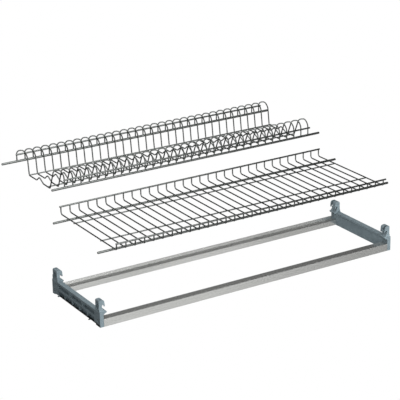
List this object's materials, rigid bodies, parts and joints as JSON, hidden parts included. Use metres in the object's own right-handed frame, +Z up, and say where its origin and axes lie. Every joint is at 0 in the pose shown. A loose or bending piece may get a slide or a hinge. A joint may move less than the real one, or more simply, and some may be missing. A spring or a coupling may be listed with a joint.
{
  "type": "dish drainer",
  "caption": "Wall cabinet dish drainer: a long aluminium frame with forked plastic end pieces, a wire cup rack and an arched wire plate rack above it.",
  "frame": {"origin": "on the outer face of the left end piece, half way up it and half way along its depth", "axes": "+X along the frame to the right end piece, +Y from the front of the cabinet to its back, +Z up"},
  "size_m": [0.9139, 0.4129, 0.3349],
  "materials": {
    "profile": "satin anodised",
    "end_piece": "moulded, matte blue-grey",
    "screw": "plain steel",
    "wire": "polished, chromed wire"
  },
  "bodies": {
    "frame": {"front_profile": "profile", "rear_profile": "profile", "left_end_piece": "end_piece", "right_end_piece": "end_piece", "left_front_screw": "screw", "left_rear_screw": "screw", "right_front_screw": "screw", "right_rear_screw": "screw"},
    "cup_rack": {"cup_rear_rod": "wire", "cup_front_rod": "wire", "cup_rear_rail": "wire", "cup_front_rail": "wire", "cup_wire_grid": "wire"},
    "plate_rack": {"plate_rear_rod": "wire", "plate_rear_rail": "wire", "plate_front_rod": "wire", "plate_front_rail": "wire", "plate_rear_brace": "wire", "plate_front_brace": "wire", "plate_wire_01": "wire", "plate_wire_02": "wire", "plate_wire_03": "wire", "plate_wire_04": "wire", "plate_wire_05": "wire", "plate_wire_06": "wire", "plate_wire_07": "wire", "plate_wire_08": "wire", "plate_wire_09": "wire", "plate_wire_10": "wire", "plate_wire_11": "wire", "plate_wire_12": "wire", "plate_wire_13": "wire", "plate_wire_14": "wire", "plate_wire_15": "wire", "plate_wire_16": "wire", "plate_wire_17": "wire", "plate_wire_18": "wire", "plate_wire_19": "wire", "plate_wire_20": "wire", "plate_wire_21": "wire", "plate_wire_22": "wire", "plate_wire_23": "wire", "plate_wire_24": "wire", "plate_wire_25": "wire", "plate_wire_26": "wire", "plate_wire_27": "wire", "plate_wire_28": "wire", "plate_wire_29": "wire", "plate_wire_30": "wire", "plate_wire_31": "wire", "plate_wire_32": "wire", "plate_wire_33": "wire"}
  },
  "joints": [
    {"name": "cup_lift", "type": "slide", "parent": "frame", "child": "cup_rack", "axis": [0, 0, 1], "range_m": [-0.136, 0.03]},
    {"name": "plate_lift", "type": "slide", "parent": "frame", "child": "plate_rack", "axis": [0, 0, 1], "range_m": [0, 0.1]}
  ]
}
